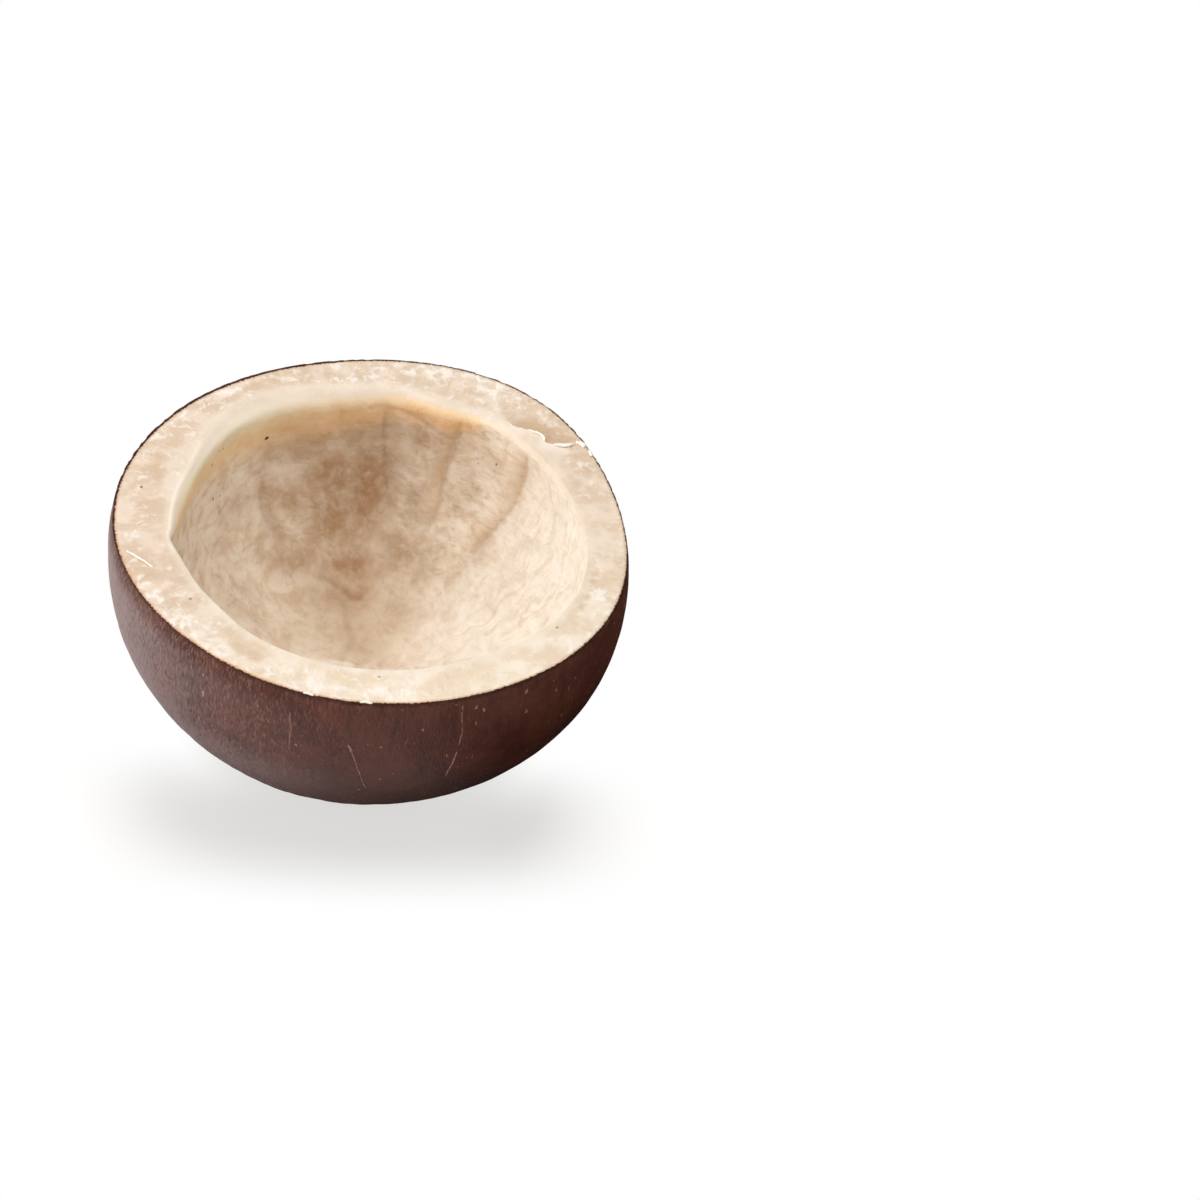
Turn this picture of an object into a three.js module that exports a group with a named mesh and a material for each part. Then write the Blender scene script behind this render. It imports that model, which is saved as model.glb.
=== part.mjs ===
// Half of a dried coconut, cut across and resting on its rounded bottom with the
// cut face up.  Millimetres and degrees, +Z up.  The origin is on the small flat
// spot that the half rests on, below the middle of the cup.
//
// Flesh and brown skin grew together as one piece, so the half is one closed
// solid: the outer wall, the flat cut rim, and the folded lining of the hollow.

import * as THREE from "three";

// ---- Driving dimensions -------------------------------------------------------

const CUP_HEIGHT = 47; // from the resting spot up to the cut face
const BULGE_RADIUS = 46.4; // mean radius where the nut is widest
const BULGE_BELOW_CUT = 8; // that level, below the cut face
const OTHER_END_HEIGHT = 40.5; // the nut's sawn-off end reached this far above that level
const BOTTOM_FULLNESS = 2.34; // 2 makes the bottom an ellipse, more makes it fuller
const BOTTOM_LEAN = 1.3; // the bottom lies this far towards -X from the rim's middle
const REST_RADIUS = 7; // flat spot that the half stands on

const HOLLOW_DEPTH = 37.5; // from the cut face down to the lowest lining
const HOLLOW_FULLNESS = 2.5; // the lining's walls are steeper than the skin's
const HOLLOW_BELLY = 0.7; // the hollow widens by this much below its mouth
const LIP_ROUNDING = 0.8; // worn edge between the cut face and the lining

const COLUMNS = 80; // facets around
const BOTTOM_ROWS = 13; // facets up the wall below the bulge
const BULGE_ROWS = 4; // and from the bulge to the cut face
const RIM_ROWS = 3;
const LINING_ROWS = 17;

// The nut grew in a three-sided husk, so it is not quite round.  Each swell lifts
// the skin by `rise` at `corners` places around, one of them at `angle` from +X.
const SKIN_SWELLS = [
  { corners: 2, rise: 0.85, angle: 149 },
  { corners: 3, rise: 0.7, angle: 62 },
  { corners: 4, rise: 0.4, angle: 60 },
  { corners: 5, rise: 0.25, angle: 50 },
];

// Mouth of the hollow: angle from +X and distance from the middle.  It leaves a
// band of cut flesh 8 to 12 wide.
const MOUTH = [
  [12, 35.8],
  [38, 34.6],
  [52, 34.9],
  [68, 33.5],
  [86, 34.6],
  [102, 34.1],
  [132, 37.2],
  [158, 36.0],
  [174, 35.9],
  [191, 36.9],
  [210, 35.6],
  [245, 36.0],
  [275, 36.9],
  [305, 38.0],
  [330, 39.3],
  [350, 38.0],
];

// The lining shrank as it dried and folded along lines that run down its wall,
// from `top` at the mouth to `foot` at the bottom, both angles from +X.
const FOLDS = [
  { top: 37, foot: 47, depth: 1.9 },
  { top: 63, foot: 71, depth: 1.5 },
  { top: 88, foot: 83, depth: 1.1 },
  { top: 126, foot: 124, depth: 0.9 },
  { top: 163, foot: 155, depth: 0.7 },
  { top: 203, foot: 208, depth: 0.9 },
  { top: 246, foot: 240, depth: 1.1 },
  { top: 288, foot: 293, depth: 0.9 },
  { top: 334, foot: 341, depth: 1.0 },
];
const FOLD_HALF_WIDTH = 3.4;
const LOBE_RISE = 0.55; // mean rise of the lining between its folds

const FLESH_COLOR = 0xe6cfae;

// ---- Small helpers --------------------------------------------------------------

const radians = THREE.MathUtils.degToRad;

// The angle from b to a, in radians, between -PI and PI.
function turnBetween(a, b) {
  const turn = a - b;
  return Math.atan2(Math.sin(turn), Math.cos(turn));
}

// A quarter of a superellipse of size 1, from its widest level (share 0) to its
// pole (share 1): how far out and how far down its point is.
function quarter(share, fullness) {
  const turn = (share * Math.PI) / 2;
  return {
    out: Math.cos(turn) ** (2 / fullness),
    down: Math.sin(turn) ** (2 / fullness),
  };
}

// Smooth closed outline through [angle, distance] points, read at an angle.
function outlineAt(points, angle) {
  const degrees = THREE.MathUtils.euclideanModulo(THREE.MathUtils.radToDeg(angle), 360);
  const count = points.length;
  const pointAt = (i) => {
    const [pointAngle, distance] = points[(i + count) % count];
    return [pointAngle + 360 * Math.floor(i / count), distance];
  };
  let after = points.findIndex(([pointAngle]) => pointAngle > degrees);
  if (after < 0) after = count;
  const [before2, before1, next1, next2] = [-2, -1, 0, 1].map((step) => pointAt(after + step));
  const span = next1[0] - before1[0];
  const t = (degrees - before1[0]) / span;
  const slopeIn = ((next1[1] - before2[1]) / (next1[0] - before2[0])) * span;
  const slopeOut = ((next2[1] - before1[1]) / (next2[0] - before1[0])) * span;
  return (
    (2 * t ** 3 - 3 * t ** 2 + 1) * before1[1] +
    (t ** 3 - 2 * t ** 2 + t) * slopeIn +
    (3 * t ** 2 - 2 * t ** 3) * next1[1] +
    (t ** 3 - t ** 2) * slopeOut
  );
}

// ---- The skin ---------------------------------------------------------------------

// How far the skin at the cut stands out from its mean circle.
function skinSwell(angle) {
  return SKIN_SWELLS.reduce(
    (sum, { corners, rise, angle: peak }) =>
      sum + rise * Math.cos(corners * (angle - radians(peak))),
    0,
  );
}

// Rows of the mean outer wall, from the resting spot's edge up to the cut face.
function skinRows() {
  const restShare =
    (Math.acos((REST_RADIUS / BULGE_RADIUS) ** (BOTTOM_FULLNESS / 2)) * 2) / Math.PI;
  const lowerHeight =
    (CUP_HEIGHT - BULGE_BELOW_CUT) / quarter(restShare, BOTTOM_FULLNESS).down;
  const rows = [];
  for (let i = 0; i <= BOTTOM_ROWS; i += 1) {
    const { out, down } = quarter(restShare * (1 - i / BOTTOM_ROWS), BOTTOM_FULLNESS);
    rows.push({
      radius: BULGE_RADIUS * out,
      height: CUP_HEIGHT - BULGE_BELOW_CUT - lowerHeight * down,
    });
  }
  for (let i = 1; i <= BULGE_ROWS; i += 1) {
    const above = (BULGE_BELOW_CUT * i) / BULGE_ROWS;
    rows.push({
      radius: BULGE_RADIUS * Math.sqrt(1 - (above / OTHER_END_HEIGHT) ** 2),
      height: CUP_HEIGHT - BULGE_BELOW_CUT + above,
    });
  }
  return rows;
}

// A point of the skin: the mean row swollen, the more the higher it is.
function skinPoint({ radius, height }, angle) {
  const share = Math.max(height / CUP_HEIGHT, 0) ** 0.7;
  const rimRadius = BULGE_RADIUS * Math.sqrt(1 - (BULGE_BELOW_CUT / OTHER_END_HEIGHT) ** 2);
  return { radius: radius * (1 + (skinSwell(angle) / rimRadius) * share), height };
}

// ---- The lining -------------------------------------------------------------------

// How far the lining stands in from its mean: lobes between the folds.
function liningRise(angle, share, radius) {
  const folded = FOLDS.reduce((deepest, { top, foot, depth }) => {
    const line = radians(top + (foot - top) * share);
    const across = turnBetween(angle, line) * radius;
    return Math.max(deepest, depth * Math.exp(-((across / FOLD_HALF_WIDTH) ** 2)));
  }, 0);
  const strength = Math.sin(Math.PI * (0.15 + 0.85 * share));
  return (LOBE_RISE - folded) * strength;
}

// A point of the lining, `share` of the way from the mouth (0) to the bottom (1).
function liningPoint(share, angle) {
  const mouth = outlineAt(MOUTH, angle);
  const { out, down } = quarter(share, HOLLOW_FULLNESS);
  const belly = HOLLOW_BELLY * Math.sin(Math.PI * Math.min(down / 0.6, 1));
  const radius = (mouth + belly) * out;
  const turn = (share * Math.PI) / 2;
  const rise = share < 1 ? liningRise(angle, share, radius) : 0;
  return {
    radius: radius - rise * Math.cos(turn),
    height: CUP_HEIGHT - HOLLOW_DEPTH * down + rise * Math.sin(turn),
  };
}

// ---- The whole half ---------------------------------------------------------------

// One entry for each row of the section, from the pole under the bottom, up the
// skin, in over the rim and down the lining to its own pole.  `at` gives the row's
// point at an angle.
function sectionRows() {
  const restingPole = { at: () => ({ radius: 0, height: 0 }) };
  const skin = skinRows().map((row) => ({ at: (angle) => skinPoint(row, angle) }));
  const rimEdge = skin[skin.length - 1];

  const rim = [];
  for (let i = 1; i <= RIM_ROWS; i += 1) {
    rim.push({
      at: (angle) => {
        const lip = outlineAt(MOUTH, angle) + LIP_ROUNDING;
        const outer = rimEdge.at(angle).radius;
        return { radius: outer + ((lip - outer) * i) / RIM_ROWS, height: CUP_HEIGHT };
      },
    });
  }

  const lipShare = 0.04; // the first row of lining, just below the rounded lip
  const lining = [];
  for (let i = 0; i <= LINING_ROWS; i += 1) {
    const share = lipShare + ((1 - lipShare) * i) / LINING_ROWS;
    lining.push({ at: (angle) => liningPoint(share, angle) });
  }
  return [restingPole, ...skin, ...rim, ...lining];
}

function coconutHalf() {
  const rows = sectionRows();
  const section = rows.map(({ at }) => {
    const { radius, height } = at(0);
    return new THREE.Vector2(radius, height);
  });
  section[section.length - 1].x = 0;

  const geometry = new THREE.LatheGeometry(section, COLUMNS).rotateX(Math.PI / 2);
  const position = geometry.attributes.position;
  for (let i = 0; i < position.count; i += 1) {
    const row = rows[i % rows.length];
    const column = Math.floor(i / rows.length) % COLUMNS;
    const angle = (column * 2 * Math.PI) / COLUMNS;
    const { radius, height } = row.at(angle);
    const lean = BOTTOM_LEAN * (1 - height / CUP_HEIGHT);
    position.setXYZ(i, radius * Math.cos(angle) - lean, radius * Math.sin(angle), height);
  }

  // The origin goes under the middle of the cup.
  geometry.computeBoundingBox();
  const middle = geometry.boundingBox.getCenter(new THREE.Vector3());
  geometry.translate(-middle.x, -middle.y, 0);
  geometry.computeVertexNormals();

  const flesh = new THREE.MeshStandardMaterial({
    color: FLESH_COLOR,
    roughness: 0.6,
    metalness: 0,
  });
  const mesh = new THREE.Mesh(geometry, flesh);
  mesh.name = "coconut_half";
  return mesh;
}

const part = new THREE.Group();
part.name = "dried_coconut_piece";
part.add(coconutHalf());

export default part;
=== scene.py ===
# %% [markdown]
# # Half of a dried coconut
#
# A dried coconut kernel is white flesh in a thin brown skin. Cut across, it
# gives a heavy little bowl: a pale, waxy rim, a folded hollow, and brown outside.
# This lesson makes that half in Blender around a fixed CAD solid. The solid says
# how large everything is; here it gets its folds, its torn rim and its finish.

# %% Load the frame
import math

import bpy
import numpy as np
from mathutils import Matrix, Vector, noise


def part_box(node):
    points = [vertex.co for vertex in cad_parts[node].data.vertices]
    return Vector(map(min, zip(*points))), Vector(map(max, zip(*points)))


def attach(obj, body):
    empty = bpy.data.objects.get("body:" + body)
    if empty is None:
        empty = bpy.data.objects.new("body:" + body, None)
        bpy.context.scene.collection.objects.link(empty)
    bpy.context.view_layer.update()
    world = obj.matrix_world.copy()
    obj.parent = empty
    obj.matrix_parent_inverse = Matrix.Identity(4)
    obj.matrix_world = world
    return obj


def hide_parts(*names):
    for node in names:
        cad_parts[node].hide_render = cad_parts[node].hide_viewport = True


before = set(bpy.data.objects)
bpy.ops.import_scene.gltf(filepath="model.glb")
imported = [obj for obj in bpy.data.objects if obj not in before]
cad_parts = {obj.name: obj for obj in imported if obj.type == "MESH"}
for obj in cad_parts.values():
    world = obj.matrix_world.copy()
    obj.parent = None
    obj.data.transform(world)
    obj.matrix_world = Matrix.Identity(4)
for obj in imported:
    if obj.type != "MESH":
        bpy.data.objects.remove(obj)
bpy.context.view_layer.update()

HALF_LOW, HALF_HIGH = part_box("coconut_half")
MM = 0.001
CUP_HEIGHT = (HALF_HIGH.z - HALF_LOW.z) / MM

# %% [markdown]
# ## The section of the half
#
# The half is a body of revolution that grew a little crooked. Its section runs
# from the pole under the bottom, up the skin, in over the cut rim, round the lip
# and down the lining to a pole of its own. One number, the station, says how far
# along that path a point is: -1 to 0 is skin, 0 to 1 rim, 1 to 2 lip, 2 to 3
# lining. The driving sizes are those of the CAD solid; the mouth and the lip
# follow the real edge more closely than the solid does.

# %% Driving sizes, in millimetres and degrees
BULGE_RADIUS = 46.4
BULGE_BELOW_CUT = 8.0
OTHER_END_HEIGHT = 40.5
BOTTOM_FULLNESS = 2.34
BOTTOM_LEAN = 1.3
REST_RADIUS = 7.0
HOLLOW_DEPTH = 37.5
HOLLOW_FULLNESS = 2.5
HOLLOW_BELLY = 0.7
BELLY_SHARE = 0.6  # the belly ends at this share of the hollow's depth
SWELL_POWER = 0.7  # how soon the swells die out towards the bottom
PATH_POINTS = 800  # on a curve whose length is measured

SKIN_SWELLS = [  # corners, rise, angle of one corner
    (2, 0.85, 149),
    (3, 0.70, 62),
    (4, 0.40, 60),
    (5, 0.25, 50),
]
MOUTH = [  # angle from +X, distance from the middle to the wall of the hollow
    (12, 35.8), (38, 34.6), (52, 34.9), (68, 33.5), (86, 34.6), (102, 34.1),
    (118, 35.3), (134, 36.0), (150, 35.0), (160, 34.5), (171, 34.4), (180, 34.7),
    (186, 35.4), (190, 36.3), (194, 36.0), (200, 35.3), (212, 35.0), (222, 34.9),
    (234, 35.6), (250, 36.1), (275, 36.9), (305, 38.0), (330, 39.3), (350, 38.0),
]
LIP_WIDTH = [  # angle, how far the worn edge reaches out over the rim
    (20, 0.9), (45, 1.2), (70, 2.0), (95, 2.8), (120, 3.8), (136, 3.8), (150, 2.3),
    (160, 1.5), (170, 1.6), (180, 1.4), (187, 0.7), (191, 0.3), (205, 0.3), (250, 0.3),
    (300, 0.3), (335, 0.5),
]
LIP_DROP = [  # angle, how far it reaches down: soft at the back, crisp in front
    (20, 0.9), (45, 1.4), (70, 2.4), (95, 3.1), (120, 3.0), (136, 2.1), (150, 1.6),
    (160, 1.7), (170, 2.4), (180, 2.3), (187, 1.0), (191, 0.4), (205, 0.3), (250, 0.3),
    (300, 0.3), (335, 0.5),
]

# %% Helpers that read those curves
def ring_value(points, degrees):
    """A closed outline, given as (angle, value) points, read at any angles."""
    angle, value = np.array(points, float).T
    angle = np.concatenate([angle[-2:] - 360, angle, angle[:2] + 360])
    value = np.concatenate([value[-2:], value, value[:2]])
    slope = np.zeros_like(value)
    slope[1:-1] = (value[2:] - value[:-2]) / (angle[2:] - angle[:-2])
    degrees = np.mod(degrees, 360)
    after = np.clip(np.searchsorted(angle, degrees, side="right"), 2, len(angle) - 2)
    before = after - 1
    span = angle[after] - angle[before]
    t = (degrees - angle[before]) / span
    return (
        (2 * t**3 - 3 * t**2 + 1) * value[before]
        + (t**3 - 2 * t**2 + t) * slope[before] * span
        + (3 * t**2 - 2 * t**3) * value[after]
        + (t**3 - t**2) * slope[after] * span
    )


def quarter(turn, fullness):
    """A point of a superellipse of size 1: how far out, and how far down."""
    return np.cos(turn) ** (2 / fullness), np.sin(turn) ** (2 / fullness)


def even_path(radius, height, shares):
    """The points that lie at these shares of the length of a path."""
    step = np.hypot(np.diff(radius), np.diff(height))
    length = np.concatenate([[0], np.cumsum(step)])
    return (
        np.interp(shares * length[-1], length, radius),
        np.interp(shares * length[-1], length, height),
    )


def skin_path(shares):
    """Mean skin from the bottom's pole (share 0) to the cut edge (share 1)."""
    rest_turn = math.acos((REST_RADIUS / BULGE_RADIUS) ** (BOTTOM_FULLNESS / 2))
    out, down = quarter(np.linspace(rest_turn, 0, PATH_POINTS), BOTTOM_FULLNESS)
    low_height = CUP_HEIGHT - BULGE_BELOW_CUT
    above = np.linspace(0, BULGE_BELOW_CUT, 60)[1:]
    radius = np.concatenate([
        [0],
        BULGE_RADIUS * out,
        BULGE_RADIUS * np.sqrt(1 - (above / OTHER_END_HEIGHT) ** 2),
    ])
    height = np.concatenate([[0], low_height * (1 - down / down[0]), low_height + above])
    return even_path(radius, height, shares)


def lining_path(shares, drop):
    """Mean lining from below the lip (share 0) to its own pole (share 1)."""
    evenly = np.linspace(0, 1, PATH_POINTS)
    turns = np.linspace(0, math.pi / 2, PATH_POINTS)
    out, down = even_path(*quarter(turns, HOLLOW_FULLNESS), evenly)
    start = np.interp(drop / HOLLOW_DEPTH, down, evenly)
    share = start + (1 - start) * shares
    return np.interp(share, evenly, out), np.interp(share, evenly, down) * HOLLOW_DEPTH


def swell(degrees):
    """How far the skin at the cut stands out from its mean circle."""
    rise = sum(
        size * np.cos(np.radians(corners * (degrees - peak)))
        for corners, size, peak in SKIN_SWELLS
    )
    return rise / (BULGE_RADIUS * math.sqrt(1 - (BULGE_BELOW_CUT / OTHER_END_HEIGHT) ** 2))


def mean_shape(station, degrees):
    """The half without its relief: places in millimetres, the cut face up."""
    mouth = ring_value(MOUTH, degrees)
    lip_width = ring_value(LIP_WIDTH, degrees)
    drop = ring_value(LIP_DROP, degrees)

    skin_radius, skin_height = skin_path(np.clip(station + 1, 0, 1))
    skin_radius = skin_radius * (1 + swell(degrees) * (skin_height / CUP_HEIGHT) ** SWELL_POWER)

    rim_share = np.clip(station, 0, 1)
    rim_radius = skin_radius + (mouth + lip_width - skin_radius) * rim_share

    lip_turn = np.clip(station - 1, 0, 1) * math.pi / 2
    lip_radius = mouth + lip_width * (1 - np.sin(lip_turn))
    lip_height = CUP_HEIGHT - drop * (1 - np.cos(lip_turn))

    out, down = lining_path(np.clip(station - 2, 0, 1), drop)
    belly_way = np.clip((down - drop) / (BELLY_SHARE * HOLLOW_DEPTH), 0, 1)
    belly = HOLLOW_BELLY * np.sin(np.pi * belly_way)
    lip_out = lining_path(np.zeros_like(drop), drop)[0]
    lining_radius = (mouth / lip_out + belly) * out
    lining_height = CUP_HEIGHT - down

    zones = [station <= 0, station <= 1, station <= 2]
    radius = np.select(zones, [skin_radius, rim_radius, lip_radius], lining_radius)
    height = np.select(zones, [skin_height, CUP_HEIGHT, lip_height], lining_height)
    turn = np.radians(degrees)
    lean = BOTTOM_LEAN * (1 - height / CUP_HEIGHT)
    return np.column_stack([radius * np.cos(turn) - lean, radius * np.sin(turn), height])


def outline_middle():
    """The middle of the half seen from above, which the origin lies below."""
    degrees = np.arange(0, 360, 0.5)
    shares = np.linspace(-0.3, 0, 31)
    stations, angles = [grid.ravel() for grid in np.meshgrid(shares, degrees)]
    places = mean_shape(stations, angles)
    return (places.max(0) + places.min(0)) / 2 * np.array([1, 1, 0])


MIDDLE = outline_middle()
print("rim's centre from the origin, mm:", np.round(-MIDDLE[:2], 2))

# %% [markdown]
# ## Turning the section
#
# On a lathe or a potter's wheel this bowl would be one section turned once round.
# A plain circle is opened at one edge and laid along the section like a thread,
# with its points closer together at the two cut edges. Spin would turn it, and so
# does the Screw modifier, which is the same turn but takes a tenth of a second
# for hundreds of steps. Each point carries its station as an attribute, and every
# copy inherits it, so each vertex of the bowl knows which part of the half it is.

# %% Lay a thread along the section
COLUMNS = 424
STATIONS = np.concatenate([
    np.linspace(-1, -0.025, 92, endpoint=False),
    np.linspace(-0.025, 0, 8, endpoint=False),
    np.linspace(0, 0.08, 5, endpoint=False),
    np.linspace(0.08, 0.92, 16, endpoint=False),
    np.linspace(0.92, 1, 3, endpoint=False),
    np.linspace(1, 2, 10, endpoint=False),
    np.linspace(2, 3, 91),
])

def deselect_all():
    """Clears the selection, so that the next operator acts on its own object."""
    bpy.ops.object.select_all(action="DESELECT")


deselect_all()
bpy.ops.mesh.primitive_circle_add(vertices=len(STATIONS), radius=0.02)
half = bpy.context.object
half.name = half.data.name = "coconut_half_flesh_and_skin"

bpy.ops.object.mode_set(mode="EDIT")
bpy.ops.mesh.select_mode(type="EDGE")
bpy.ops.mesh.select_all(action="DESELECT")
bpy.ops.object.mode_set(mode="OBJECT")
last = len(STATIONS) - 1
for edge in half.data.edges:
    edge.select = set(edge.vertices) == {0, last}
bpy.ops.object.mode_set(mode="EDIT")
bpy.ops.mesh.delete(type="EDGE")
bpy.ops.object.mode_set(mode="OBJECT")

section = mean_shape(STATIONS, np.zeros(len(STATIONS)))
section[:, 0] += BOTTOM_LEAN * (1 - section[:, 2] / CUP_HEIGHT)
half.data.vertices.foreach_set("co", (section * MM).astype(np.float32).ravel())
station_mark = half.data.attributes.new("station", "FLOAT", "POINT")
station_mark.data.foreach_set("value", STATIONS.astype(np.float32))
print("section points:", len(half.data.vertices), "edges:", len(half.data.edges))

# %% Turn it once round and close the seam
turning = half.modifiers.new("turning", "SCREW")
turning.axis = "Z"
turning.angle = 2 * math.pi
turning.steps = turning.render_steps = COLUMNS
turning.use_merge_vertices = True
turning.merge_threshold = 1e-6
bpy.ops.object.modifier_apply(modifier="turning")
half.data.uv_layers.remove(half.data.uv_layers[0])

bpy.ops.object.mode_set(mode="EDIT")
bpy.ops.mesh.select_all(action="SELECT")
bpy.ops.mesh.normals_make_consistent(inside=False)
bpy.ops.object.mode_set(mode="OBJECT")
print("turned bowl:", len(half.data.vertices), "vertices,", len(half.data.polygons), "faces")

# %% Read and write a mesh in millimetres
def read(items, name, kind=np.float32):
    """One number or one vector of every vertex, corner or face of a mesh."""
    width = 3 if name in ("co", "vector") else 1
    values = np.empty(len(items) * width, kind)
    items.foreach_get(name, values)
    return values.reshape(-1, 3) if width == 3 else values


def read_places(mesh):
    """All vertex places of a mesh, in millimetres."""
    return read(mesh.vertices, "co").astype(float) / MM


def write_places(mesh, places):
    """Moves all vertices of a mesh to places in millimetres."""
    mesh.vertices.foreach_set("co", (places * MM).astype(np.float32).ravel())
    mesh.update()


def write_marks(mesh, **marks):
    """Stores named numbers on a mesh, one a vertex, for its material to read."""
    for name, values in marks.items():
        mark = mesh.attributes.new(name, "FLOAT", "POINT")
        mark.data.foreach_set("value", values.astype(np.float32))


def shade_by_angle(item, degrees):
    """Smooth shading that keeps edges sharper than an angle crisp."""
    deselect_all()
    item.select_set(True)
    bpy.context.view_layer.objects.active = item
    bpy.ops.object.shade_smooth_by_angle(angle=math.radians(degrees))


turned = read_places(half.data)
STATION = read(half.data.attributes["station"].data, "value").astype(float)
DEGREES = np.degrees(np.arctan2(turned[:, 1], turned[:, 0])) % 360
write_places(half.data, mean_shape(STATION, DEGREES) - MIDDLE)
print("stations carried:", round(STATION.min(), 3), "to", round(STATION.max(), 3))

# %% [markdown]
# ## Folds, lumps and chips
#
# As the flesh dried it shrank. The lining pulled into lobes with creases between
# them that run down from the mouth, the skin wrinkled along its length, and the
# saw left the rim a little uneven. A sculptor would push these in with a brush.
# Here each is a formula that says how far to push every vertex along its normal,
# so that the marks stay where the real ones are.

# %% Random relief, and distance to a line
def cloud(places, size, octaves, seed):
    """Soft random relief, about -1 to 1, with lumps as long as size says."""
    scaled = places / np.array(size, float) + 37.0 * seed
    return np.array([
        noise.fractal(place, 1.0, 2.0, octaves, noise_basis="PERLIN_ORIGINAL")
        for place in scaled.tolist()
    ])


def distance_to_line(places, line):
    """The distance of each place from a line through points."""
    nearest = np.full(len(places), np.inf)
    for start, end in zip(line[:-1], line[1:]):
        along = end - start
        share = np.clip((places - start) @ along / (along @ along), 0, 1)
        away = np.linalg.norm(places - start - share[:, None] * along, axis=1)
        nearest = np.minimum(nearest, away)
    return nearest


def ease(value, low, high):
    """0 below low, 1 above high, and smooth between them."""
    t = np.clip((value - low) / (high - low), 0, 1)
    return t * t * (3 - 2 * t)


def turn_from(angle):
    """How far round each vertex lies from an angle, -180 to 180 degrees."""
    return (DEGREES - angle + 180) % 360 - 180


def near_angle(angle, half_width):
    """1 for vertices at an angle, falling smoothly to 0 half a width away."""
    return 1 - ease(np.abs(turn_from(angle)), 0, half_width)


places = read_places(half.data)
normals = read(half.data.vertex_normals, "vector").astype(float)
DEPTH = CUP_HEIGHT - places[:, 2]
RADIUS = np.hypot(places[:, 0], places[:, 1])
on_skin = STATION <= 0
on_lining = STATION >= 1
turn = np.radians(DEGREES)
meridian = np.column_stack([45 * np.cos(turn), 45 * np.sin(turn), DEPTH])

# %% Lobes and folds of the lining
FOLDS = [  # each a line of (depth below the cut, angle), then the rise of the lobe after it
    ([(0, 36.8), (8, 37.8), (15, 39.4), (19, 41.4), (25, 44.8), (31, 47.5)], 1.6),
    ([(0, 63), (7, 64), (14, 66.5), (22, 65.2), (27, 68.7), (31, 71)], 1.4),
    ([(0, 88), (8, 88.6), (14, 88), (20, 86), (26, 84), (31, 82)], 0.9),
    ([(0, 102), (14, 101.5), (25, 101.5), (31, 104)], 1.2),
    ([(0, 125), (13, 125.5), (22, 130), (28, 130), (31, 127)], 1.1),
    ([(0, 163), (15, 160), (31, 155)], 1.0),
    ([(0, 203), (31, 208)], 1.2),
    ([(0, 246), (31, 240)], 1.3),
    ([(0, 288), (31, 293)], 1.2),
    ([(0, 334), (31, 341)], 1.1),
]

lines = np.array([np.interp(DEPTH, *zip(*line)) for line, rise in FOLDS])
after_fold = (DEGREES - lines) % 360
own = after_fold.argmin(0)
column = np.arange(len(DEGREES))
gap = (np.roll(lines, -1, axis=0) - lines) % 360
across = after_fold[own, column] / gap[own, column]
lobe = np.sin(math.pi * across**0.6) ** 0.9
rise = np.array([rise for line, rise in FOLDS])[own]
LOBE_MEAN = 0.62  # taken off, so that the lobes leave the hollow as wide as it was
lobe_strength = ease(DEPTH, 0.5, 8) * (1 - ease(DEPTH, 20, 34))
lining_rise = rise * (lobe - LOBE_MEAN) * lobe_strength
beside_folds = np.radians(turn_from(lines[:2])) * RADIUS
sharp_folds = (np.abs(beside_folds) < 9) * ease(DEPTH, 0.5, 3) * (1 - ease(DEPTH, 18, 31))
sharp_folds[0] *= 1 - 0.7 * np.exp(-(((DEPTH - 15) / 3) ** 2))
print("lobes rise up to", round(lining_rise.max(), 2), "mm")

# %% Creases, lumps and the swirls at the bottom
def on_wall(angle, depth):
    """A point of the mean lining, at an angle and a depth below the cut."""
    stations = 2 + np.linspace(0, 1, 400)
    upward = mean_shape(stations, np.full(len(stations), float(angle)))[::-1]
    height = CUP_HEIGHT - depth
    return np.array([np.interp(height, upward[:, 2], side) for side in upward.T]) - MIDDLE


CREASES = [  # (angle, depth) points, then depth and half width of the groove
    ([(62.5, 1), (64.5, 7), (66.5, 14), (65.5, 20), (66, 24), (69, 27), (71, 31)], 0.07, 0.7),
    ([(36.5, 0.5), (37.4, 8), (38.6, 15), (40.6, 19), (44.2, 25), (46, 28), (47, 32)], 0.08, 0.7),
    ([(125, 10), (129, 18), (130, 24), (130, 29)], 0.18, 1.6),
    ([(116, 33.0), (112, 33.6), (106, 34.3), (101, 35.0), (95, 35.2)], 0.4, 0.7),
    ([(107, 35.5), (109, 36.5), (110, 37.2), (160, 37.4)], 0.2, 0.7),
    ([(92, 2.4), (88, 3.0), (83, 3.6), (77, 4.5), (71, 5.8), (65, 7)], 0.3, 0.5),
]
DEEPEST_CREASE = 0.4
crease_depth = np.zeros(len(places))
crease_mark = np.zeros(len(places))
for line, depth, half_width in CREASES:
    away = distance_to_line(places, np.array([on_wall(*point) for point in line]))
    groove = np.exp(-((away / half_width) ** 2))
    crease_depth = np.maximum(crease_depth, depth * groove)
    # the creases also get painted shade in the colour
    crease_mark = np.maximum(crease_mark, depth / DEEPEST_CREASE * groove)

lumps = 0.40 * cloud(places, (7, 7, 9), 2, 1) + 0.22 * cloud(places, (2.6, 2.6, 3.4), 2, 2)
warped = places + 2.5 * np.column_stack([cloud(places, (9, 9, 9), 1, seed) for seed in (3, 4, 5)])
swirl_relief = 0.30 * (1 - 3 * np.abs(cloud(warped, (5, 5, 5), 1, 6))) * ease(DEPTH, 14, 30)
lining_relief = lining_rise - crease_depth + (lumps + swirl_relief) * ease(DEPTH, 0.3, 5)

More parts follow.
